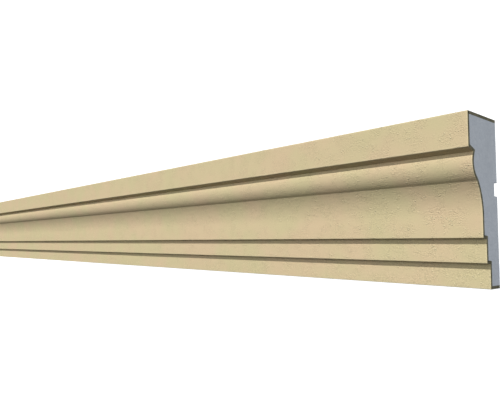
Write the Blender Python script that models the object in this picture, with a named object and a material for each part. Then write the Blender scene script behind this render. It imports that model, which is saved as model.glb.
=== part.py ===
"""Window surround moulding: a length of foam trim with a thin sand-textured coat over its face.

The length runs along X, the wall is the plane Y = 0, and the moulded face looks to -Y. The origin
is the middle of the back. Sizes are in metres.
"""

import math

import bmesh
import bpy
from mathutils import Vector

# Length of the piece, which is cut square at both ends
LENGTH = 1.5

# Members of the moulded face, from the bottom up. An overhang is how far a member stands out past
# the one below it, and a fall is how much its underside drops from its front edge to the wall side.
LOWER_BAND_PROJECTION = 0.0183
LOWER_BAND_HEIGHT = 0.0218
UPPER_BAND_OVERHANG = 0.0062
UPPER_BAND_FALL = 0.0006
UPPER_BAND_HEIGHT = 0.0210
FRIEZE_OVERHANG = 0.0061
FRIEZE_FALL = 0.0007
FRIEZE_HEIGHT = 0.0191
COVE_OVERHANG = 0.0092
COVE_HEIGHT = 0.0292
ROLL_OVERHANG = 0.0057
ROLL_HEIGHT = 0.0241
ROLL_BULGE = 0.0045
FASCIA_OVERHANG = 0.0085
FASCIA_FALL = 0.0031
FASCIA_HEIGHT = 0.0304

# Layers, and the gap that keeps the two solids apart
COAT_THICKNESS = 0.0030
LAYER_GAP = 0.0003
ARRIS_RADIUS = 0.0008

# Groove along the back, measured up from the bottom edge to its lower side
GROOVE_RISE = 0.0811
GROOVE_HEIGHT = 0.0120
GROOVE_DEPTH = 0.0058

# Facets of the round members and arrises
COVE_FACETS = 14
ROLL_FACETS = 20
ARRIS_FACETS = 3
SMOOTH_ANGLE = math.radians(12)

# Colours as linear red, green and blue
SAND = (0.60, 0.49, 0.30, 1.0)
BLUE_GREY = (0.30, 0.33, 0.37, 1.0)

# Heights of the members' corners above the bottom edge
UPPER_BAND_FOOT = LOWER_BAND_HEIGHT + UPPER_BAND_FALL
FRIEZE_INNER = UPPER_BAND_FOOT + UPPER_BAND_HEIGHT
FRIEZE_FOOT = FRIEZE_INNER + FRIEZE_FALL
COVE_FOOT = FRIEZE_FOOT + FRIEZE_HEIGHT
CREASE = COVE_FOOT + COVE_HEIGHT
ROLL_TOP = CREASE + ROLL_HEIGHT
FASCIA_FOOT = ROLL_TOP + FASCIA_FALL
HEIGHT = FASCIA_FOOT + FASCIA_HEIGHT

# How far the members stand out from the wall
UPPER_BAND_PROJECTION = LOWER_BAND_PROJECTION + UPPER_BAND_OVERHANG
FRIEZE_PROJECTION = UPPER_BAND_PROJECTION + FRIEZE_OVERHANG
CREASE_PROJECTION = FRIEZE_PROJECTION + COVE_OVERHANG
ROLL_TOP_PROJECTION = CREASE_PROJECTION + ROLL_OVERHANG
PROJECTION = ROLL_TOP_PROJECTION + FASCIA_OVERHANG


def clear_scene():
    """Remove every object that the file opened with."""
    for obj in list(bpy.data.objects):
        bpy.data.objects.remove(obj, do_unlink=True)


def arc_points(start, end, bulge, facets):
    """Points after start up to end, on the arc that bulges to the right of the way by that much."""
    chord = end - start
    half = chord.length / 2
    radius = (half**2 + bulge**2) / (2 * abs(bulge))
    side = Vector((chord.y, -chord.x)).normalized() * math.copysign(1, bulge)
    centre = (start + end) / 2 - side * (radius - abs(bulge))
    sweep = 2 * math.asin(half / radius) * math.copysign(1, bulge)
    spoke = start - centre
    turns = (sweep * step / facets for step in range(1, facets + 1))
    return [centre + turned(spoke, angle) for angle in turns]


def turned(spoke, angle):
    """A flat vector turned anticlockwise by an angle."""
    cosine, sine = math.cos(angle), math.sin(angle)
    return Vector((spoke.x * cosine - spoke.y * sine, spoke.x * sine + spoke.y * cosine))


def cove_bulge():
    """The sagitta that makes the cove leave the frieze's face straight upwards."""
    radius = (COVE_HEIGHT**2 + COVE_OVERHANG**2) / (2 * COVE_OVERHANG)
    half = math.hypot(COVE_HEIGHT, COVE_OVERHANG) / 2
    return radius - math.sqrt(radius**2 - half**2)


def face_outline():
    """The moulded face from the bottom's wall side to the top's, as (projection, height) points."""
    cove_foot = Vector((FRIEZE_PROJECTION, COVE_FOOT))
    crease = Vector((CREASE_PROJECTION, CREASE))
    roll_top = Vector((ROLL_TOP_PROJECTION, ROLL_TOP))
    below = [
        (0, 0),
        (LOWER_BAND_PROJECTION, 0),
        (LOWER_BAND_PROJECTION, LOWER_BAND_HEIGHT),
        (UPPER_BAND_PROJECTION, UPPER_BAND_FOOT),
        (UPPER_BAND_PROJECTION, FRIEZE_INNER),
        (FRIEZE_PROJECTION, FRIEZE_FOOT),
        cove_foot,
    ]
    cove = arc_points(cove_foot, crease, -cove_bulge(), COVE_FACETS)
    roll = arc_points(crease, roll_top, ROLL_BULGE, ROLL_FACETS)
    above = [(PROJECTION, FASCIA_FOOT), (PROJECTION, HEIGHT), (0, HEIGHT)]
    return [Vector(point) for point in [*below, *cove, *roll, *above]]


def arris_corners():
    """The corners of the face that the coat rounds off."""
    return [
        Vector((LOWER_BAND_PROJECTION, 0)),
        Vector((UPPER_BAND_PROJECTION, UPPER_BAND_FOOT)),
        Vector((FRIEZE_PROJECTION, FRIEZE_FOOT)),
        Vector((PROJECTION, FASCIA_FOOT)),
        Vector((PROJECTION, HEIGHT)),
    ]


def edge_normals(outline):
    """Unit normals of an outline's edges, pointing into the material."""
    ways = [(after - before).normalized() for before, after in zip(outline, outline[1:])]
    return [Vector((-way.y, way.x)) for way in ways]


def inset_outline(outline, distance):
    """An outline moved into the material by a distance, with mitred corners and its ends kept at the wall."""
    normals = edge_normals(outline)
    first = outline[0] + normals[0] * distance
    last = outline[-1] + normals[-1] * distance
    middle = []
    for point, before, after in zip(outline[1:-1], normals, normals[1:]):
        mitre = (before + after).normalized()
        middle.append(point + mitre * distance / mitre.dot(after))
    return [first, *middle, last]


def groove_outline():
    """The groove's corners on the back, from its upper side down."""
    top = GROOVE_RISE + GROOVE_HEIGHT
    return [
        Vector((0, top)),
        Vector((GROOVE_DEPTH, top)),
        Vector((GROOVE_DEPTH, GROOVE_RISE)),
        Vector((0, GROOVE_RISE)),
    ]


def in_place(point, x):
    """A (projection, height) point as a place in the part's frame."""
    return Vector((x, -point.x, point.y - HEIGHT / 2))


def make_material(name, colour, roughness):
    """A plain Principled material."""
    material = bpy.data.materials.new(name)
    material.use_nodes = True
    shader = material.node_tree.nodes["Principled BSDF"]
    shader.inputs["Base Color"].default_value = colour
    shader.inputs["Roughness"].default_value = roughness
    shader.inputs["Metallic"].default_value = 0.0
    return material


def extrude_section(name, section, material):
    """A solid of the given cross-section along the whole length."""
    shape = bmesh.new()
    corners = [shape.verts.new(in_place(point, -LENGTH / 2)) for point in section]
    face = shape.faces.new(corners)
    extruded = bmesh.ops.extrude_face_region(shape, geom=[face])["geom"]
    moved = [item for item in extruded if isinstance(item, bmesh.types.BMVert)]
    bmesh.ops.translate(shape, verts=moved, vec=(LENGTH, 0, 0))
    bmesh.ops.recalc_face_normals(shape, faces=shape.faces)
    mesh = bpy.data.meshes.new(name)
    shape.to_mesh(mesh)
    shape.free()
    mesh.materials.append(material)
    mesh.shade_smooth()
    mesh.set_sharp_from_angle(angle=SMOOTH_ANGLE)
    obj = bpy.data.objects.new(name, mesh)
    bpy.context.scene.collection.objects.link(obj)
    return obj


def round_arrises(obj, corners):
    """Round the long edges that pass through the given corners, and leave the cut ends sharp."""
    places = [in_place(corner, 0) for corner in corners]
    weights = obj.data.attributes.new("bevel_weight_edge", "FLOAT", "EDGE")
    for edge in obj.data.edges:
        start, end = (obj.data.vertices[index].co for index in edge.vertices)
        middle = (start + end) / 2
        if any((middle - place).length < LAYER_GAP for place in places):
            weights.data[edge.index].value = 1.0
    bevel = obj.modifiers.new("rounded arrises", "BEVEL")
    bevel.limit_method = "WEIGHT"
    bevel.width = ARRIS_RADIUS
    bevel.segments = ARRIS_FACETS


def make_foam_core():
    """The shaped core, bare at the ends and at the back, with its long groove."""
    face = inset_outline(face_outline(), COAT_THICKNESS + LAYER_GAP)
    section = face + groove_outline()
    return extrude_section("foam_core", section, make_material("foam", BLUE_GREY, 0.9))


def make_stucco_coat():
    """The coat over the bottom, the moulded face and the top."""
    outside = face_outline()
    inside = inset_outline(outside, COAT_THICKNESS)
    section = outside + inside[::-1]
    coat = extrude_section("stucco_coat", section, make_material("sand stucco", SAND, 0.85))
    round_arrises(coat, arris_corners())
    return coat


def main():
    """Build both layers and hang them on one empty at the middle of the back."""
    clear_scene()
    root = bpy.data.objects.new("window_surround_moulding", None)
    bpy.context.scene.collection.objects.link(root)
    for layer in (make_foam_core(), make_stucco_coat()):
        layer.parent = root


main()
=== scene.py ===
"""Window surround moulding: a sand-finished coat over a shaped foam core, on a pale stage.

The length runs along X, the wall is the plane Y = 0 and the moulded face looks to -Y. The origin
is the middle of the back, and sizes are in metres.
"""

import logging
import math
from collections.abc import Callable
from dataclasses import dataclass
from enum import Enum
from typing import Any

import bmesh
import bpy
import numpy as np
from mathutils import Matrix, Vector


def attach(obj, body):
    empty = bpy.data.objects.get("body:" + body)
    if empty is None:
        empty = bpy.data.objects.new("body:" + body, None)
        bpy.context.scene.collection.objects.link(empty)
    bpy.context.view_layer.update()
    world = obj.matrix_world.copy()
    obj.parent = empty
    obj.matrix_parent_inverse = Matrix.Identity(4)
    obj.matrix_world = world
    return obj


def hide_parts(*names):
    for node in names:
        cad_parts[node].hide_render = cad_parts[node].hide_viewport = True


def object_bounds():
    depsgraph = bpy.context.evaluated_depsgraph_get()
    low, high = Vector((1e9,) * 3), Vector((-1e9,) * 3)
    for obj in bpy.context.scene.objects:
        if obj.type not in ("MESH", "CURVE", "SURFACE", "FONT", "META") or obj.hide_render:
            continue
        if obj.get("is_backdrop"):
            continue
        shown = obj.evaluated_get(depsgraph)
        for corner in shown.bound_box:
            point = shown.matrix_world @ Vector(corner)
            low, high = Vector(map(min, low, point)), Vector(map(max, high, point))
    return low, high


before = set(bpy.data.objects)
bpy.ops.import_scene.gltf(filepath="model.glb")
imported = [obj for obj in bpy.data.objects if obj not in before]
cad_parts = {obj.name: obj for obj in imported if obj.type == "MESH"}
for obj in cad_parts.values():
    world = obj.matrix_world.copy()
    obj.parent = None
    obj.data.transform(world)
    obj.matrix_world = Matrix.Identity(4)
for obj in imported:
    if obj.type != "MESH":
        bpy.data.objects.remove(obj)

LOG = logging.getLogger("moulding")

# How near places are taken as one, and the gap between the coat and the foam
TOUCHING = 1e-5
BOND_GAP = 1e-4

# The middle of a noise, and the attribute that says how much painted highlight each point gets along the
# arrises and the cut ends
NOISE_LEVEL = 0.5
EDGE_HIGHLIGHT = "edge_highlight"

Colour = tuple[float, float, float]
Point = tuple[float, float, float]
Range = tuple[float, float]
Element = bmesh.types.BMVert | bmesh.types.BMEdge | bmesh.types.BMFace
WHITE: Colour = (1.0, 1.0, 1.0)


class Part(Enum):
    """What edit mode picks."""

    VERTS = "VERT"
    EDGES = "EDGE"
    FACES = "FACE"


class Grain(Enum):
    """The kinds of relief that are pressed into a surface, by the texture that drives each one."""

    SOFT_WAVES = "CLOUDS"
    ROUND_BEADS = "VORONOI"


class CoatSurface(Enum):
    """The coat's two finishes, in the order of its material slots."""

    SAND = 0
    CUT_EDGE = 1


@dataclass(frozen=True)
class Stretch:
    """A stretch of the face's outline, which goes out from the wall and up, straight or as an arc.

    A bulge above zero rounds the stretch outwards, and one below zero hollows it.
    """

    out: float
    up: float
    bulge: float = 0.0

    @property
    def chord(self) -> float:
        """The straight way between the two ends."""
        return math.hypot(self.out, self.up)

    @property
    def radius(self) -> float:
        """The radius of the arc."""
        return ((self.chord / 2) ** 2 + self.bulge**2) / (2 * abs(self.bulge))

    @property
    def sweep(self) -> float:
        """The angle that the arc turns through, above zero where it turns back to the wall."""
        return math.copysign(2 * math.asin(self.chord / 2 / self.radius), self.bulge)

    @property
    def length(self) -> float:
        """The way along the stretch."""
        return self.radius * abs(self.sweep) if self.bulge else self.chord

    def centre_from_start(self) -> Vector:
        """The arc's centre as (out, up) from the stretch's lower end."""
        side = Vector((self.up, -self.out)).normalized() * math.copysign(1, self.bulge)
        return Vector((self.out, self.up)) / 2 - side * (self.radius - abs(self.bulge))


@dataclass(frozen=True)
class FaceProfile:
    """The members of the moulded face, from the bottom up.

    An overhang is how far a member stands out past the one below it, and a fall is how much its
    underside drops from its front edge to the wall side.
    """

    projection: float
    height: float
    lower_band_projection: float = 0.0183
    lower_band_height: float = 0.0218
    upper_band_overhang: float = 0.0062
    upper_band_fall: float = 0.0006
    upper_band_height: float = 0.0210
    frieze_overhang: float = 0.0061
    frieze_fall: float = 0.0007
    frieze_height: float = 0.0191
    cove_overhang: float = 0.0092
    cove_height: float = 0.0292
    roll_overhang: float = 0.0057
    roll_height: float = 0.0241
    roll_bulge: float = 0.0045
    fascia_fall: float = 0.0031

    @property
    def cove_bulge(self) -> float:
        """How deep the cove is hollowed, so that it leaves the frieze's face straight upwards.

        Returns:
            The bulge, above zero.
        """
        radius = (self.cove_height**2 + self.cove_overhang**2) / (2 * self.cove_overhang)
        half = math.hypot(self.cove_height, self.cove_overhang) / 2
        return radius - math.sqrt(radius**2 - half**2)

    def members(self) -> list[Stretch]:
        """The stretches of the face above the underside, up to the top's front edge.

        Returns:
            The stretches, from the bottom up.
        """
        below = [
            Stretch(0, self.lower_band_height),
            Stretch(self.upper_band_overhang, self.upper_band_fall),
            Stretch(0, self.upper_band_height),
            Stretch(self.frieze_overhang, self.frieze_fall),
            Stretch(0, self.frieze_height),
            Stretch(self.cove_overhang, self.cove_height, -self.cove_bulge),
            Stretch(self.roll_overhang, self.roll_height, self.roll_bulge),
        ]
        reached = self.lower_band_projection + sum(member.out for member in below)
        risen = sum(member.up for member in below) + self.fascia_fall
        soffit = Stretch(self.projection - reached, self.fascia_fall)
        return [*below, soffit, Stretch(0, self.height - risen)]

    def corners(self) -> list[Vector]:
        """The (projection, height) corners between the members, from the bottom front edge up.

        Returns:
            The corners, one more than there are members.
        """
        corners = [Vector((self.lower_band_projection, 0))]
        for member in self.members():
            corners.append(corners[-1] + Vector((member.out, member.up)))
        return corners

    def arrises(self) -> list[Vector]:
        """The outer corners, which the coat rounds."""
        bottom, _, upper_band, _, frieze, *_, fascia, top = self.corners()
        return [bottom, upper_band, frieze, fascia, top]

    def crease(self) -> Vector:
        """Where the roll stands out of the cove."""
        *_, crease, _, _, _ = self.corners()
        return crease

    def box(self, length: float) -> tuple[Vector, Vector]:
        """The lowest and highest corner of a piece of that length."""
        low = self.place(Vector((self.projection, 0)), -length / 2)
        return low, self.place(Vector((0, self.height)), length / 2)

    def place(self, corner: Vector, x: float = 0.0) -> Vector:
        """A (projection, height) corner as a point in the part's frame.

        Args:
            corner: How far the corner is from the wall, and above the bottom.
            x: The point's place along the length.

        Returns:
            The point.
        """
        return Vector((x, -corner.x, corner.y - self.height / 2))


def work_alone(piece: bpy.types.Object) -> None:
    """Make a piece the one that the object operators act on.

    Args:
        piece: The object.
    """
    bpy.ops.object.select_all(action="DESELECT")
    piece.select_set(True)
    bpy.context.view_layer.objects.active = piece


def pick(piece: bpy.types.Object, part: Part, test: Callable[[Element], bool]) -> None:
    """Select what passes a test, and nothing else, in edit mode.

    Args:
        piece: The object that is in edit mode.
        part: Whether verts, edges or faces are picked.
        test: Tells whether one of them is wanted.
    """
    bpy.ops.mesh.select_mode(type=part.value)
    bpy.ops.mesh.select_all(action="DESELECT")
    shape = bmesh.from_edit_mesh(piece.data)
    elements = {Part.VERTS: shape.verts, Part.EDGES: shape.edges, Part.FACES: shape.faces}[part]
    wanted = [element for element in elements if test(element)]
    for element in wanted:
        element.select_set(True)
    bmesh.update_edit_mesh(piece.data)


def runs_along(edge: bmesh.types.BMEdge) -> bool:
    """Whether an edge runs along the length."""
    start, end = (vert.co for vert in edge.verts)
    return abs(start.y - end.y) < TOUCHING and abs(start.z - end.z) < TOUCHING


def passes_through(edge: bmesh.types.BMEdge, place: Vector) -> bool:
    """Whether a long edge passes through a place on the face's outline."""
    away = edge.verts[0].co - place
    return runs_along(edge) and math.hypot(away.y, away.z) < TOUCHING


def finish_modifier(piece: bpy.types.Object, kind: str, settings: dict[str, Any]) -> None:
    """Add a modifier to a piece and apply it.

    Args:
        piece: The object.
        kind: The modifier's type.
        settings: Its properties by name.
    """
    modifier = piece.modifiers.new(kind.lower(), kind)
    for name, value in settings.items():
        setattr(modifier, name, value)
    work_alone(piece)
    bpy.ops.object.modifier_apply(modifier=modifier.name)


def mesh_places(piece: bpy.types.Object) -> np.ndarray:
    """The places of a piece's verts, one row each.

    Args:
        piece: The object.

    Returns:
        The places.
    """
    places = np.empty(len(piece.data.vertices) * 3, np.float32)
    piece.data.vertices.foreach_get("co", places)
    return places.reshape(-1, 3)


def keep_inside(piece: bpy.types.Object, low: Vector, high: Vector) -> None:
    """Press what stands past a box back to its faces.

    Args:
        piece: The object.
        low: The box's lowest corner.
        high: The box's highest corner.
    """
    places = mesh_places(piece).clip(np.array(low, np.float32), np.array(high, np.float32))
    piece.data.vertices.foreach_set("co", places.ravel())
    piece.data.update()


def group_verts(piece: bpy.types.Object, name: str, wanted: np.ndarray) -> None:
    """Put verts in a vertex group.

    Args:
        piece: The object.
        name: The group's name.
        wanted: True for each vert that goes in.
    """
    group = piece.vertex_groups.new(name=name)
    group.add(np.flatnonzero(wanted).tolist(), 1.0, "REPLACE")


@dataclass(frozen=True)
class Relief:
    """A relief in a surface, half above its level and half below."""

    name: str
    grain: Grain
    size: float
    depth: float

    def press(self, piece: bpy.types.Object, group: str) -> None:
        """Move the verts of a group in and out by the relief.

        Args:
            piece: The object.
            group: The vertex group's name.
        """
        texture = bpy.data.textures.new(self.name, self.grain.value)
        texture.noise_scale = self.size
        settings = {
            "texture": texture,
            "texture_coords": "LOCAL",
            "mid_level": 0.5,
            "strength": -self.depth,
            "vertex_group": group,
        }
        finish_modifier(piece, "DISPLACE", settings)
        bpy.data.textures.remove(texture)


@dataclass(frozen=True)
class Zone:
    """A stretch of the length that is cut into equal columns, in two rounds of cuts."""

    start: float
    end: float
    blocks: int
    columns_in_block: int

    def holds(self, edge: bmesh.types.BMEdge) -> bool:
        """Whether an edge lies in the zone."""
        return all(self.start - TOUCHING < vert.co.x < self.end + TOUCHING for vert in edge.verts)


@dataclass(frozen=True)
class LongSheet:
    """A sheet that follows the face's outline along the whole length, grown edge by edge."""

    profile: FaceProfile
    length: float
    strip: float

    def grow(self, name: str) -> bpy.types.Object:
        """Model the sheet from the underside's wall edge round to the top's, facing outwards.

        Args:
            name: The new object's name.

        Returns:
            The object, in edit mode.
        """
        depth = self.profile.lower_band_projection
        bottom = -self.profile.height / 2
        bpy.ops.object.select_all(action="DESELECT")
        bpy.ops.mesh.primitive_plane_add(size=1, location=(0, -self.strip / 2, bottom))
        piece = bpy.context.object
        piece.name = name
        piece.data.name = name
        piece.scale = (self.length, self.strip, 1)
        bpy.ops.object.transform_apply(location=True, rotation=True, scale=True)
        bpy.ops.object.mode_set(mode="EDIT")
        pick(piece, Part.EDGES, lambda edge: all(v.co.y < -TOUCHING for v in edge.verts))
        self.pull(Stretch(depth - self.strip, 0))
        corners = self.profile.corners()
        for corner, member in zip(corners, self.profile.members()):
            if member.bulge:
                self.turn(corner, member)
            else:
                self.pull(member)
        self.pull(Stretch(-corners[-1].x, 0))
        self.face_outwards(piece)
        return piece

    def pull(self, stretch: Stretch) -> None:
        """Extrude the selected long edge along a straight stretch, strip by strip.

        Args:
            stretch: The way to go.
        """
        strips = max(1, round(stretch.length / self.strip))
        move = (0, -stretch.out / strips, stretch.up / strips)
        for _ in range(strips):
            bpy.ops.mesh.extrude_region_move(TRANSFORM_OT_translate={"value": move})

    def turn(self, corner: Vector, stretch: Stretch) -> None:
        """Spin the selected long edge along an arc.

        Args:
            corner: The (projection, height) corner that the arc starts from.
            stretch: The arc.
        """
        centre = self.profile.place(corner + stretch.centre_from_start())
        strips = max(2, round(stretch.length / self.strip))
        bpy.ops.mesh.spin(steps=strips, angle=stretch.sweep, center=centre, axis=(1, 0, 0))

    def face_outwards(self, piece: bpy.types.Object) -> None:
        """Merge what the steps doubled, and make the underside face down and the rest follow.

        Args:
            piece: The object that is in edit mode.
        """
        bpy.ops.mesh.select_all(action="SELECT")
        bpy.ops.mesh.remove_doubles(threshold=TOUCHING)
        bpy.ops.mesh.normals_make_consistent(inside=False)
        shape = bmesh.from_edit_mesh(piece.data)
        lowest = min(shape.faces, key=lambda face: face.calc_center_median().z)
        if lowest.normal.z > 0:
            bpy.ops.mesh.flip_normals()


def cut_columns(
    piece: bpy.types.Object, zones: list[Zone], wanted: Callable[[Element], bool]
) -> None:
    """Cut a solid's long faces into columns, in edit mode.

    Args:
        piece: The object that is in edit mode.
        zones: The stretches of the length, in order.
        wanted: Tells whether a long edge is on a face that needs columns.
    """
    for zone in zones[:-1]:
        bpy.ops.mesh.select_all(action="SELECT")
        bpy.ops.mesh.bisect(plane_co=(zone.end, 0, 0), plane_no=(1, 0, 0))
    for zone in zones:
        for cuts in (zone.blocks - 1, zone.columns_in_block - 1):
            pick(piece, Part.EDGES, lambda edge: runs_along(edge) and zone.holds(edge) and wanted(edge))
            bpy.ops.mesh.subdivide(number_cuts=cuts)


@dataclass
class StuccoCoat:
    """The coat over the bottom, the moulded face and the top, cut square at both ends."""

    profile: FaceProfile
    length: float
    thickness: float = 0.0027
    arris_radius: float = 0.0005
    arris_facets: int = 3
    strip: float = 0.00185
    smooth_angle: float = math.radians(38)
    # How far the painted highlight reaches from each arris and each cut end
    highlight_width: float = 0.0016
    fine_length: float = 0.24
    inside_weight: float = 0.5

    float_waves: Relief = Relief("float waves", Grain.SOFT_WAVES, size=0.055, depth=0.00022)
    orange_peel: Relief = Relief("orange peel", Grain.SOFT_WAVES, size=0.0075, depth=0.00018)
    coarse_sand: Relief = Relief("coarse sand", Grain.SOFT_WAVES, size=0.0036, depth=0.00014)

    inside_group: str = "inside"
    sand_group: str = "sand"

    def zones(self) -> list[Zone]:
        """The columns are closest near the two cut ends.

        Returns:
            The zones, in order along the length.
        """
        half = self.length / 2
        middle = half - self.fine_length
        return [
            Zone(-half, -middle, blocks=12, columns_in_block=7),
            Zone(-middle, middle, blocks=30, columns_in_block=13),
            Zone(middle, half, blocks=16, columns_in_block=8),
        ]

    def build(self, sand: bpy.types.Material, cut_edge: bpy.types.Material) -> bpy.types.Object:
        """Model the coat and dress it.

        Args:
            sand: The finish of the face, the underside and the top.
            cut_edge: The finish of the cut ends and of the edges at the wall.

        Returns:
            The finished piece.
        """
        piece = LongSheet(self.profile, self.length, self.strip).grow("sand_finish_coat")
        bpy.ops.object.mode_set(mode="OBJECT")
        piece.data.materials.append(sand)
        piece.data.materials.append(cut_edge)
        self.thicken(piece)
        self.round_arrises(piece)
        bpy.ops.object.mode_set(mode="EDIT")
        cut_columns(piece, self.zones(), self.shows(piece))
        self.sharpen_crease(piece)
        bpy.ops.object.mode_set(mode="OBJECT")
        self.press_sand(piece)
        # Paint a highlight along the arrises and the cut ends, as pale colour
        self.paint_edge_highlight(piece)
        work_alone(piece)
        bpy.ops.object.shade_smooth_by_angle(angle=self.smooth_angle, keep_sharp_edges=True)
        return piece

    def thicken(self, piece: bpy.types.Object) -> None:
        """Give the sheet its thickness towards the foam, with square edges.

        Args:
            piece: The object.
        """
        piece.vertex_groups.new(name=self.inside_group)
        settings = {
            "thickness": self.thickness,
            "offset": -1.0,
            "use_even_offset": True,
            "use_rim": True,
            "shell_vertex_group": self.inside_group,
            "material_offset": CoatSurface.CUT_EDGE.value,
            "material_offset_rim": CoatSurface.CUT_EDGE.value,
        }
        finish_modifier(piece, "SOLIDIFY", settings)

    def round_arrises(self, piece: bpy.types.Object) -> None:
        """Round the outer corners along the length.

        Args:
            piece: The object.
        """
        places = [self.profile.place(corner) for corner in self.profile.arrises()]
        work_alone(piece)
        bpy.ops.object.mode_set(mode="EDIT")
        pick(piece, Part.EDGES, lambda edge: any(passes_through(edge, place) for place in places))
        bpy.ops.mesh.bevel(offset=self.arris_radius, segments=self.arris_facets, affect="EDGES")
        bpy.ops.object.mode_set(mode="OBJECT")

    def shows(self, piece: bpy.types.Object) -> Callable[[bmesh.types.BMEdge], bool]:
        """A test for the edges that aren't on the inner side, except where that meets the wall.

        Args:
            piece: The object that is in edit mode.

        Returns:
            The test, which takes an edge.
        """
        index = piece.vertex_groups[self.inside_group].index

        def outside(edge: bmesh.types.BMEdge) -> bool:
            """Whether both ends of an edge are on the outer side or at the wall.

            Args:
                edge: The edge.

            Returns:
                Whether it passes.
            """
            shape = bmesh.from_edit_mesh(piece.data)
            weights = shape.verts.layers.deform.verify()
            return all(
                vert[weights].get(index, 0.0) < self.inside_weight or abs(vert.co.y) < TOUCHING
                for vert in edge.verts
            )

        return outside

    def sharpen_crease(self, piece: bpy.types.Object) -> None:
        """Keep the line between the roll and the cove crisp.

        Args:
            piece: The object that is in edit mode.
        """
        place = self.profile.place(self.profile.crease())
        pick(piece, Part.EDGES, lambda edge: passes_through(edge, place))
        bpy.ops.mesh.mark_sharp()

    def press_sand(self, piece: bpy.types.Object) -> None:
        """Press the reliefs into the outer side, up to the cut ends and the wall edges.

        Args:
            piece: The object.
        """
        places = mesh_places(piece)
        group = piece.vertex_groups[self.inside_group].index
        inside = np.array([any(g.group == group for g in vert.groups) for vert in piece.data.vertices])
        ends = np.abs(places[:, 0]) > self.length / 2 - TOUCHING
        at_wall = np.abs(places[:, 1]) < TOUCHING
        group_verts(piece, self.sand_group, ~inside & ~ends & ~at_wall)
        for relief in (self.float_waves, self.orange_peel, self.coarse_sand):
            relief.press(piece, self.sand_group)
        keep_inside(piece, *self.profile.box(self.length))

    def paint_edge_highlight(self, piece: bpy.types.Object) -> None:
        """Write how much painted highlight each point gets, which is most on the arrises and at the cuts.

        Args:
            piece: The object.
        """
        places = mesh_places(piece)
        edge_highlight = np.zeros(len(places), np.float32)
        for corner in self.profile.arrises():
            arris = self.profile.place(corner)
            away = np.hypot(places[:, 1] - arris.y, places[:, 2] - arris.z)
            edge_highlight = np.maximum(edge_highlight, 1 - away / self.highlight_width)
        from_end = self.length / 2 - np.abs(places[:, 0])
        edge_highlight = np.maximum(edge_highlight, 1 - from_end / self.highlight_width)
        attribute = piece.data.attributes.new(EDGE_HIGHLIGHT, "FLOAT", "POINT")
        attribute.data.foreach_set("value", edge_highlight.clip(0, 1))


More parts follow.
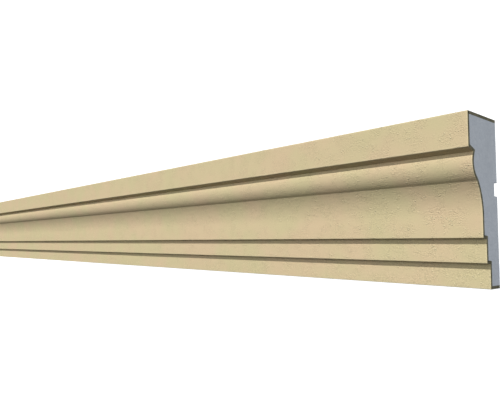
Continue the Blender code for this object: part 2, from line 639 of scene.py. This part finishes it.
@dataclass
class FoamCore:
    """The shaped core, bare at both ends and at the back, with its long groove."""

    profile: FaceProfile
    length: float
    inset: float
    groove_rise: float = 0.0811
    groove_height: float = 0.0120
    groove_depth: float = 0.0058
    strip: float = 0.0030
    end_grid: float = 0.0013
    smooth_angle: float = math.radians(30)
    end_facing: float = 0.9

    cut_beads: Relief = Relief("cut beads", Grain.ROUND_BEADS, size=0.0042, depth=0.00012)
    wire_waves: Relief = Relief("wire waves", Grain.SOFT_WAVES, size=0.021, depth=0.00020)

    cut_group: str = "cut end"
    back_group: str = "back"

    def build(self, foam: bpy.types.Material) -> bpy.types.Object:
        """Model the core and dress it.

        Args:
            foam: The finish of the foam.

        Returns:
            The finished piece.
        """
        sheet = LongSheet(self.profile, self.length, self.strip)
        piece = sheet.grow("bead_foam_core")
        bpy.ops.mesh.select_all(action="SELECT")
        bpy.ops.transform.shrink_fatten(value=-self.inset, use_even_offset=True)
        self.close_back(piece, sheet)
        self.close_ends(piece)
        half = self.length / 2
        zones = [
            Zone(-half, 0, blocks=20, columns_in_block=12),
            Zone(0, half, blocks=20, columns_in_block=12),
        ]
        cut_columns(piece, zones, lambda edge: all(vert.co.y > -TOUCHING for vert in edge.verts))
        self.grid_ends(piece)
        bpy.ops.object.mode_set(mode="OBJECT")
        piece.data.materials.append(foam)
        self.press_reliefs(piece)
        work_alone(piece)
        bpy.ops.object.shade_smooth_by_angle(angle=self.smooth_angle)
        return piece

    def close_back(self, piece: bpy.types.Object, sheet: LongSheet) -> None:
        """Carry the top's wall edge down the back and round the groove to the underside.

        Args:
            piece: The object that is in edit mode.
            sheet: The sheet that the piece was grown from, whose strips the back repeats.
        """
        top = self.profile.height / 2 - self.inset
        bottom = -top
        groove_foot = self.groove_rise - self.profile.height / 2
        groove_head = groove_foot + self.groove_height
        pick(piece, Part.EDGES, lambda edge: passes_through(edge, Vector((0, 0, top))))
        sheet.pull(Stretch(0, groove_head - top))
        sheet.pull(Stretch(self.groove_depth, 0))
        sheet.pull(Stretch(0, groove_foot - groove_head))
        sheet.pull(Stretch(-self.groove_depth, 0))
        sheet.pull(Stretch(0, bottom - groove_foot))
        bpy.ops.mesh.select_all(action="SELECT")
        bpy.ops.mesh.remove_doubles(threshold=TOUCHING)

    def close_ends(self, piece: bpy.types.Object) -> None:
        """Fill both ends, and turn every face outwards.

        Args:
            piece: The object that is in edit mode.
        """
        for side in (-1, 1):
            end = side * self.length / 2
            pick(
                piece,
                Part.EDGES,
                lambda edge: edge.is_boundary and all(abs(v.co.x - end) < TOUCHING for v in edge.verts),
            )
            bpy.ops.mesh.edge_face_add()
        bpy.ops.mesh.select_all(action="SELECT")
        bpy.ops.mesh.normals_make_consistent(inside=False)

    def at_end(self, face: bmesh.types.BMFace | bpy.types.MeshPolygon) -> bool:
        """Whether a face lies in a cut end."""
        return abs(face.normal.x) > self.end_facing

    def grid_ends(self, piece: bpy.types.Object) -> None:
        """Cut both ends into small cells, which the bead relief needs.

        Args:
            piece: The object that is in edit mode.
        """
        height, depth = self.profile.height, self.profile.projection
        for step in range(1, round(height / self.end_grid)):
            self.slice_ends(piece, (0, 0, step * self.end_grid - height / 2), (0, 0, 1))
        for step in range(1, round(depth / self.end_grid)):
            self.slice_ends(piece, (0, -step * self.end_grid, 0), (0, 1, 0))

    def slice_ends(self, piece: bpy.types.Object, point: Point, normal: Point) -> None:
        """Cut the end faces along a plane.

        Args:
            piece: The object that is in edit mode.
            point: A point on the plane.
            normal: The plane's normal.
        """
        pick(piece, Part.FACES, self.at_end)
        bpy.ops.mesh.bisect(plane_co=point, plane_no=normal)

    def press_reliefs(self, piece: bpy.types.Object) -> None:
        """Press each relief into its side, and leave the sides' borders where they are.

        Args:
            piece: The object.
        """
        places = mesh_places(piece)
        ends = np.abs(places[:, 0]) > self.length / 2 - TOUCHING
        rim = np.zeros(len(places), bool)
        for face in piece.data.polygons:
            if not self.at_end(face):
                rim[list(face.vertices)] = True
        back = np.abs(places[:, 1]) < TOUCHING
        level = np.abs(places[:, 2]) < self.profile.height / 2 - self.inset - TOUCHING
        group_verts(piece, self.cut_group, ends & ~rim)
        self.cut_beads.press(piece, self.cut_group)
        group_verts(piece, self.back_group, back & level & ~ends)
        self.wire_waves.press(piece, self.back_group)
        keep_inside(piece, *self.profile.box(self.length))


class Reading:
    """A number that a socket gives, which adds a Math node wherever it is used in an expression."""

    def __init__(self, bench: "NodeBench", socket: bpy.types.NodeSocket) -> None:
        """Keep the socket and the bench that adds nodes to its tree."""
        self.bench = bench
        self.socket = socket

    def _math(self, operation: str, first: Any, second: Any) -> "Reading":
        """Add a Math node on two values or readings.

        Args:
            operation: The node's operation.
            first: The first value.
            second: The second value.

        Returns:
            The node's result.
        """
        return self.bench.read("ShaderNodeMath", {"operation": operation}, {0: first, 1: second})

    def __add__(self, other: Any) -> "Reading":
        """Add."""
        return self._math("ADD", self, other)

    def __radd__(self, other: Any) -> "Reading":
        """Add to a value."""
        return self._math("ADD", other, self)

    def __sub__(self, other: Any) -> "Reading":
        """Subtract."""
        return self._math("SUBTRACT", self, other)

    def __rsub__(self, other: Any) -> "Reading":
        """Subtract from a value."""
        return self._math("SUBTRACT", other, self)

    def __mul__(self, other: Any) -> "Reading":
        """Multiply."""
        return self._math("MULTIPLY", self, other)

    def __rmul__(self, other: Any) -> "Reading":
        """Multiply a value."""
        return self._math("MULTIPLY", other, self)

    def between(self, low: float, high: float) -> "Reading":
        """Rise smoothly from 0 at the low value to 1 at the high one.

        Args:
            low: The value that gives 0.
            high: The value that gives 1.

        Returns:
            The share.
        """
        settings = {"interpolation_type": "SMOOTHSTEP"}
        return self.bench.read(
            "ShaderNodeMapRange", settings, {"Value": self, "From Min": low, "From Max": high}
        )


class NodeBench:
    """Adds nodes to one node tree."""

    # Places of the sockets that a Mix node uses for colours
    MIX_FIRST, MIX_SECOND, MIX_RESULT = 6, 7, 2

    def __init__(self, tree: bpy.types.NodeTree) -> None:
        """Keep the tree."""
        self.tree = tree

    def add(
        self, kind: str, settings: dict[str, Any] | None = None, sockets: dict[Any, Any] | None = None
    ) -> bpy.types.Node:
        """Add a node.

        Args:
            kind: The node's type.
            settings: Its properties by name, which are set first.
            sockets: The values or links of its inputs, by name or place.

        Returns:
            The node.
        """
        node = self.tree.nodes.new(kind)
        for name, value in (settings or {}).items():
            setattr(node, name, value)
        for name, value in (sockets or {}).items():
            if isinstance(value, Reading):
                self.tree.links.new(value.socket, node.inputs[name])
            elif isinstance(value, bpy.types.NodeSocket):
                self.tree.links.new(value, node.inputs[name])
            else:
                node.inputs[name].default_value = value
        return node

    def read(
        self, kind: str, settings: dict[str, Any] | None = None, sockets: dict[Any, Any] | None = None
    ) -> Reading:
        """Add a node and give its first output as a reading, with the arguments of add."""
        return Reading(self, self.add(kind, settings, sockets).outputs[0])

    def noise(self, place: bpy.types.NodeSocket, size: float, detail: float = 2.0) -> Reading:
        """A soft noise.

        Args:
            place: Where it is read.
            size: How big its patches are.
            detail: How many finer octaves it has.

        Returns:
            The noise, around 0.5.
        """
        sockets = {"Vector": place, "Scale": 1 / size, "Detail": detail}
        return self.read("ShaderNodeTexNoise", None, sockets)

    def cells(self, place: bpy.types.NodeSocket, size: float, feature: str = "F1") -> bpy.types.Node:
        """Round or many-sided cells of a size, by the feature that is read from them."""
        settings = {"voronoi_dimensions": "3D", "feature": feature}
        return self.add("ShaderNodeTexVoronoi", settings, {"Vector": place, "Scale": 1 / size})

    def chance(self, cells: bpy.types.Node) -> Reading:
        """A number from 0 to 1 for each cell, the same all over it."""
        return self.read("ShaderNodeSeparateColor", None, {0: cells.outputs["Color"]})

    def blend(self, share: Any, first: Any, second: Any) -> bpy.types.NodeSocket:
        """Mix two colours.

        Args:
            share: How much of the second colour shows.
            first: The first colour, as a value or a socket.
            second: The second one.

        Returns:
            The mixed colour.
        """
        colours = {self.MIX_FIRST: self.solid(first), self.MIX_SECOND: self.solid(second)}
        node = self.add("ShaderNodeMix", {"data_type": "RGBA"}, {0: share, **colours})
        return node.outputs[self.MIX_RESULT]

    def shaded(self, colour: bpy.types.NodeSocket, share: Reading) -> bpy.types.NodeSocket:
        """A colour made lighter or darker by a factor."""
        sockets = {0: colour, "Scale": share}
        return self.add("ShaderNodeVectorMath", {"operation": "SCALE"}, sockets).outputs[0]

    @staticmethod
    def solid(colour: Any) -> Any:
        """A colour of three numbers with its fourth, and any other value as it is."""
        return (*colour, 1.0) if isinstance(colour, tuple) and len(colour) == 3 else colour


@dataclass(frozen=True)
class Surface:
    """What the finishes share: one Principled shader and a bump from a height."""

    name: str
    specular: float
    bump_distance: float

    def dress(
        self, paint: Callable[[NodeBench, bpy.types.NodeSocket], tuple[Any, Any, Reading]]
    ) -> bpy.types.Material:
        """Make the material.

        Args:
            paint: Gives the colour, the roughness and the height from a bench and a place.

        Returns:
            The material.
        """
        material = bpy.data.materials.new(self.name)
        material.use_nodes = True
        bench = NodeBench(material.node_tree)
        shader = material.node_tree.nodes["Principled BSDF"]
        shader.inputs["Specular IOR Level"].default_value = self.specular
        place = bench.add("ShaderNodeTexCoord").outputs["Object"]
        colour, roughness, height = paint(bench, place)
        bump = bench.add("ShaderNodeBump", None, {"Distance": self.bump_distance, "Height": height})
        bench.tree.links.new(colour, shader.inputs["Base Color"])
        bench.tree.links.new(roughness.socket, shader.inputs["Roughness"])
        bench.tree.links.new(bump.outputs["Normal"], shader.inputs["Normal"])
        return material


@dataclass(frozen=True)
class SandFinish:
    """Fine sand held in a cream coat, with faint warm and cool clouds, loose specks, and a pale painted
    highlight along the arrises and the cut ends.

    A size is how big a pattern's patches are, a share how strongly it shows in the colour, and a
    rise how far it stands out.
    """

    warm: Colour = (0.635, 0.490, 0.305)
    cool: Colour = (0.590, 0.505, 0.290)
    pale: Colour = (0.80, 0.70, 0.44)
    dark: Colour = (0.36, 0.28, 0.17)
    specular: float = 0.22
    bump: float = 0.0010
    cloud_size: float = 0.055
    cloud_range: Range = (0.30, 0.70)
    stain_size: float = 0.1265
    stain_share: float = 0.05
    patch_size: float = 0.012
    patch_range: Range = (0.34, 0.62)
    patch_share: float = 0.95
    between_patches: float = 0.20
    grain_size: float = 0.0015
    grain_share: float = 0.10
    grain_rise: float = 0.30
    sand_size: float = 0.0009
    sand_level: float = 0.46
    sand_share: float = 0.60
    sand_rise: float = 0.60
    speck_size: float = 0.0024
    speck_edge: Range = (0.18, 0.34)
    dark_chance: Range = (0.86, 0.90)
    dark_share: float = 0.32
    pale_chance: Range = (0.24, 0.28)
    pale_share: float = 0.80
    pale_rise: float = 0.45
    # How strongly the painted highlight on the arrises and the cut ends shows
    highlight_share: float = 0.35
    least_rough: float = 0.84
    grain_rough: float = 0.14

    def make(self) -> bpy.types.Material:
        """The material."""
        return Surface("sand finish", self.specular, self.bump).dress(self.paint)

    def paint(
        self, bench: NodeBench, place: bpy.types.NodeSocket
    ) -> tuple[bpy.types.NodeSocket, Reading, Reading]:
        """Give the colour, the roughness and the height.

        Args:
            bench: Adds the nodes.
            place: Where the patterns are read.

        Returns:
            The colour, the roughness and the height.
        """
        clouds = bench.noise(place, self.cloud_size, detail=3.0).between(*self.cloud_range)
        stains = bench.noise(place, self.stain_size, detail=4.0) - NOISE_LEVEL
        patches = bench.noise(place, self.patch_size).between(*self.patch_range)
        shown = patches * self.patch_share + self.between_patches
        grain = bench.noise(place, self.grain_size)
        sand = bench.noise(place, self.sand_size, detail=1.0)
        marks = (sand - self.sand_level) * self.sand_share + (grain - NOISE_LEVEL) * self.grain_share
        colour = bench.blend(clouds, self.cool, self.warm)
        colour = bench.shaded(colour, 1 + marks * shown + stains * self.stain_share)
        dark, pale = self.specks(bench, place)
        colour = bench.blend(dark * patches * self.dark_share, colour, self.dark)
        colour = bench.blend(pale * patches * self.pale_share, colour, self.pale)
        # Painted highlight: pale colour laid along the arrises and the cut ends
        edge_highlight = Reading(bench, bench.add("ShaderNodeAttribute", {"attribute_name": EDGE_HIGHLIGHT}).outputs["Fac"])
        colour = bench.blend(edge_highlight * self.highlight_share, colour, self.pale)
        bumps = (grain - NOISE_LEVEL) * self.grain_rise + (sand - NOISE_LEVEL) * self.sand_rise
        height = bumps * shown + pale * patches * self.pale_rise + NOISE_LEVEL
        return colour, self.least_rough + grain * self.grain_rough, height

    def specks(self, bench: NodeBench, place: bpy.types.NodeSocket) -> tuple[Reading, Reading]:
        """Scatter dark and pale specks, one at most in each cell.

        Args:
            bench: Adds the nodes.
            place: Where the cells are read.

        Returns:
            Where the dark specks are, and where the pale ones are.
        """
        cells = bench.cells(place, self.speck_size)
        chance = bench.chance(cells)
        heart = 1 - Reading(bench, cells.outputs["Distance"]).between(*self.speck_edge)
        return heart * chance.between(*self.dark_chance), heart * (1 - chance.between(*self.pale_chance))


@dataclass(frozen=True)
class CutEdgeFinish:
    """The base coat where the saw shows it: dark olive cement with fine grit."""

    cement: Colour = (0.165, 0.150, 0.098)
    shade: Colour = (0.105, 0.098, 0.062)
    grit: Colour = (0.34, 0.31, 0.22)
    specular: float = 0.2
    bump: float = 0.00025
    cloud_size: float = 0.006
    cloud_rise: float = 0.5
    cloud_rough: float = 0.1
    shade_range: Range = (0.38, 0.62)
    grit_size: float = 0.0007
    grit_edge: Range = (0.2, 0.45)
    grit_chance: Range = (0.78, 0.84)
    grit_share: float = 0.7
    grit_rise: float = 0.5
    least_rough: float = 0.88

    def make(self) -> bpy.types.Material:
        """The material."""
        return Surface("cut base coat", self.specular, self.bump).dress(self.paint)

    def paint(
        self, bench: NodeBench, place: bpy.types.NodeSocket
    ) -> tuple[bpy.types.NodeSocket, Reading, Reading]:
        """Give the colour, the roughness and the height.

        Args:
            bench: Adds the nodes.
            place: Where the patterns are read.

        Returns:
            The colour, the roughness and the height.
        """
        clouds = bench.noise(place, self.cloud_size, detail=3.0)
        cells = bench.cells(place, self.grit_size)
        heart = 1 - Reading(bench, cells.outputs["Distance"]).between(*self.grit_edge)
        shown = heart * bench.chance(cells).between(*self.grit_chance)
        colour = bench.blend(clouds.between(*self.shade_range), self.cement, self.shade)
        colour = bench.blend(shown * self.grit_share, colour, self.grit)
        height = clouds * self.cloud_rise + heart * self.grit_rise
        return colour, self.least_rough + clouds * self.cloud_rough, height


@dataclass(frozen=True)
class BeadFoamFinish:
    """Moulded bead foam, cut with a hot wire: close many-sided beads with faint darker seams."""

    bead: Colour = (0.445, 0.475, 0.520)
    other_bead: Colour = (0.475, 0.503, 0.545)
    seam: Colour = (0.33, 0.355, 0.40)
    specular: float = 0.3
    bump: float = 0.00025
    bead_size: float = 0.0042
    bead_rise: float = 0.4
    seam_range: Range = (0.0, 0.09)
    seam_share: float = 0.22
    wire_drag: Point = (1.0, 1.0, 0.28)
    smear_size: float = 0.014
    smear_share: float = 0.16
    smear_rough: float = 0.2
    cells_in_bead: int = 9
    cell_share: float = 0.04
    cell_rise: float = 0.12
    least_rough: float = 0.78

    def make(self) -> bpy.types.Material:
        """The material."""
        return Surface("bead foam", self.specular, self.bump).dress(self.paint)

    def paint(
        self, bench: NodeBench, place: bpy.types.NodeSocket
    ) -> tuple[bpy.types.NodeSocket, Reading, Reading]:
        """Give the colour, the roughness and the height.

        Args:
            bench: Adds the nodes.
            place: Where the patterns are read.

        Returns:
            The colour, the roughness and the height.
        """
        beads = bench.cells(place, self.bead_size)
        seams = bench.cells(place, self.bead_size, "DISTANCE_TO_EDGE")
        inner = Reading(bench, seams.outputs["Distance"]).between(*self.seam_range)
        drag = {0: place, 1: self.wire_drag}
        dragged = bench.add("ShaderNodeVectorMath", {"operation": "MULTIPLY"}, drag).outputs[0]
        smears = bench.noise(dragged, self.smear_size, detail=3.0)
        cells = bench.noise(place, self.bead_size / self.cells_in_bead, detail=1.0)
        streaks = (smears - NOISE_LEVEL) * self.smear_share + (cells - NOISE_LEVEL) * self.cell_share
        colour = bench.blend(bench.chance(beads), self.bead, self.other_bead)
        colour = bench.blend((1 - inner) * self.seam_share, colour, self.seam)
        colour = bench.shaded(colour, 1 + streaks)
        height = inner * self.bead_rise + cells * self.cell_rise
        return colour, self.least_rough + smears * self.smear_rough, height


@dataclass
class Studio:
    """The pale floor, the crisp key light from the front, two soft fills and the dim surround."""

    sun_height: float = math.radians(42.5)
    sun_side: float = -0.10
    sun_strength: float = 2.95
    sun_width: float = math.radians(1.6)
    front_way: Point = (0.25, -1.0, 0.22)
    front_strength: float = 1.12
    rear_way: Point = (0.75, 0.60, 0.28)
    rear_strength: float = 2.15
    fill_width: float = math.radians(35)
    sky: float = 0.07
    ground: float = 0.042
    horizon: float = 0.25
    surround_tint: Colour = (0.68, 1.0, 1.25)
    backdrop: float = 1.3
    floor_drop: float = 1.2
    floor_size: float = 60.0
    floor_colour: Colour = (0.92, 0.92, 0.92)
    floor_glow: float = 0.25

    def light(self) -> None:
        """Make the world and the lights."""
        scene = bpy.context.scene
        scene.view_settings.view_transform = "Standard"
        key = Vector((self.sun_side, -math.cos(self.sun_height), math.sin(self.sun_height)))
        self.sun("key light", key, self.sun_strength, self.sun_width)
        self.sun("front fill", Vector(self.front_way), self.front_strength, self.fill_width)
        self.sun("rear fill", Vector(self.rear_way), self.rear_strength, self.fill_width)
        self.surround(scene)

    def sun(self, name: str, towards: Vector, strength: float, width: float) -> None:
        """Add a distant light.

        Args:
            name: Its name.
            towards: The way from the object to it.
            strength: How strong it is.
            width: The angle that it spans, which softens its shadows.
        """
        lamp = bpy.data.lights.new(name, "SUN")
        lamp.energy = strength
        lamp.angle = width
        light = bpy.data.objects.new(name, lamp)
        light.rotation_euler = towards.to_track_quat("Z", "Y").to_euler()
        bpy.context.scene.collection.objects.link(light)

    def surround(self, scene: bpy.types.Scene) -> None:
        """Light the object from all round, brighter from above, in front of a white backdrop.

        Args:
            scene: The scene.
        """
        world = bpy.data.worlds.new("studio")
        world.use_nodes = True
        scene.world = world
        bench = NodeBench(world.node_tree)
        background = world.node_tree.nodes["Background"]
        way = bench.add("ShaderNodeTexCoord").outputs["Generated"]
        parts = bench.add("ShaderNodeSeparateXYZ", None, {0: way})
        upward = Reading(bench, parts.outputs["Z"]).between(-self.horizon, self.horizon)
        glow = self.ground + upward * (self.sky - self.ground)
        seen = Reading(bench, bench.add("ShaderNodeLightPath").outputs["Is Camera Ray"])
        strength = glow * (1 - seen) + seen * self.backdrop
        colour = bench.blend(seen, self.surround_tint, WHITE)
        bench.tree.links.new(colour, background.inputs["Color"])
        bench.tree.links.new(strength.socket, background.inputs["Strength"])

    def floor(self, height: float) -> None:
        """Lay the floor well below the object, where it throws no light up on it.

        Args:
            height: The object's height, whose middle is at zero.
        """
        level = -height / 2 - self.floor_drop
        bpy.ops.object.select_all(action="DESELECT")
        bpy.ops.mesh.primitive_plane_add(size=self.floor_size, location=(0, 0, level))
        floor = bpy.context.object
        floor.name = "studio_floor"
        bpy.ops.object.transform_apply(location=True, rotation=True, scale=True)
        floor.visible_diffuse = False
        floor.visible_glossy = False
        floor.visible_shadow = False
        material = bpy.data.materials.new("pale floor")
        material.use_nodes = True
        shader = material.node_tree.nodes["Principled BSDF"]
        shader.inputs["Base Color"].default_value = (*self.floor_colour, 1.0)
        shader.inputs["Roughness"].default_value = 1.0
        shader.inputs["Specular IOR Level"].default_value = 0.0
        shader.inputs["Emission Color"].default_value = (*WHITE, 1.0)
        shader.inputs["Emission Strength"].default_value = self.floor_glow
        floor.data.materials.append(material)
        floor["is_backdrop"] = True


@dataclass
class Viewpoint:
    """The camera, which stands before the near cut end and looks back along the face."""

    beyond_end: float = 0.18657
    from_wall: float = 0.46349
    below_middle: float = 0.03476
    swing: float = math.radians(48.094)
    tilt: float = math.radians(3.6165)
    lens: float = 36.360
    rise: float = 0.0213

    def place(self, length: float) -> None:
        """Add the camera.

        Args:
            length: The object's length, whose near cut end is at half of it.
        """
        camera = bpy.data.cameras.new("camera")
        camera.lens = self.lens
        camera.shift_y = self.rise
        camera.clip_start = 0.01
        camera.clip_end = 100.0
        holder = bpy.data.objects.new("camera", camera)
        holder.location = (length / 2 + self.beyond_end, -self.from_wall, -self.below_middle)
        holder.rotation_euler = (math.radians(90) + self.tilt, 0, self.swing)
        bpy.context.scene.collection.objects.link(holder)
        bpy.context.scene.camera = holder


def report(piece: bpy.types.Object) -> None:
    """Log how many faces and triangles a piece has."""
    triangles = sum(len(face.vertices) - 2 for face in piece.data.polygons)
    LOG.info("%s: %d faces, %d triangles", piece.name, len(piece.data.polygons), triangles)


def install(piece: bpy.types.Object, node: str) -> None:
    """Put a finished piece in the place of its CAD node.

    Args:
        piece: The finished piece.
        node: The node that it stands for.
    """
    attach(piece, "root")
    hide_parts(node)
    report(piece)


def main() -> None:
    """Build the stage and both layers."""
    logging.basicConfig(level=logging.INFO, format="%(message)s")
    cad_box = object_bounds()
    length, projection, height = cad_box[1] - cad_box[0]
    Viewpoint().place(length)
    studio = Studio()
    studio.light()
    studio.floor(height)
    profile = FaceProfile(projection, height)
    coat = StuccoCoat(profile, length)
    install(coat.build(SandFinish().make(), CutEdgeFinish().make()), "stucco_coat")
    foam = FoamCore(profile, length, inset=coat.thickness + BOND_GAP)
    install(foam.build(BeadFoamFinish().make()), "foam_core")


if __name__ == "__main__":
    main()
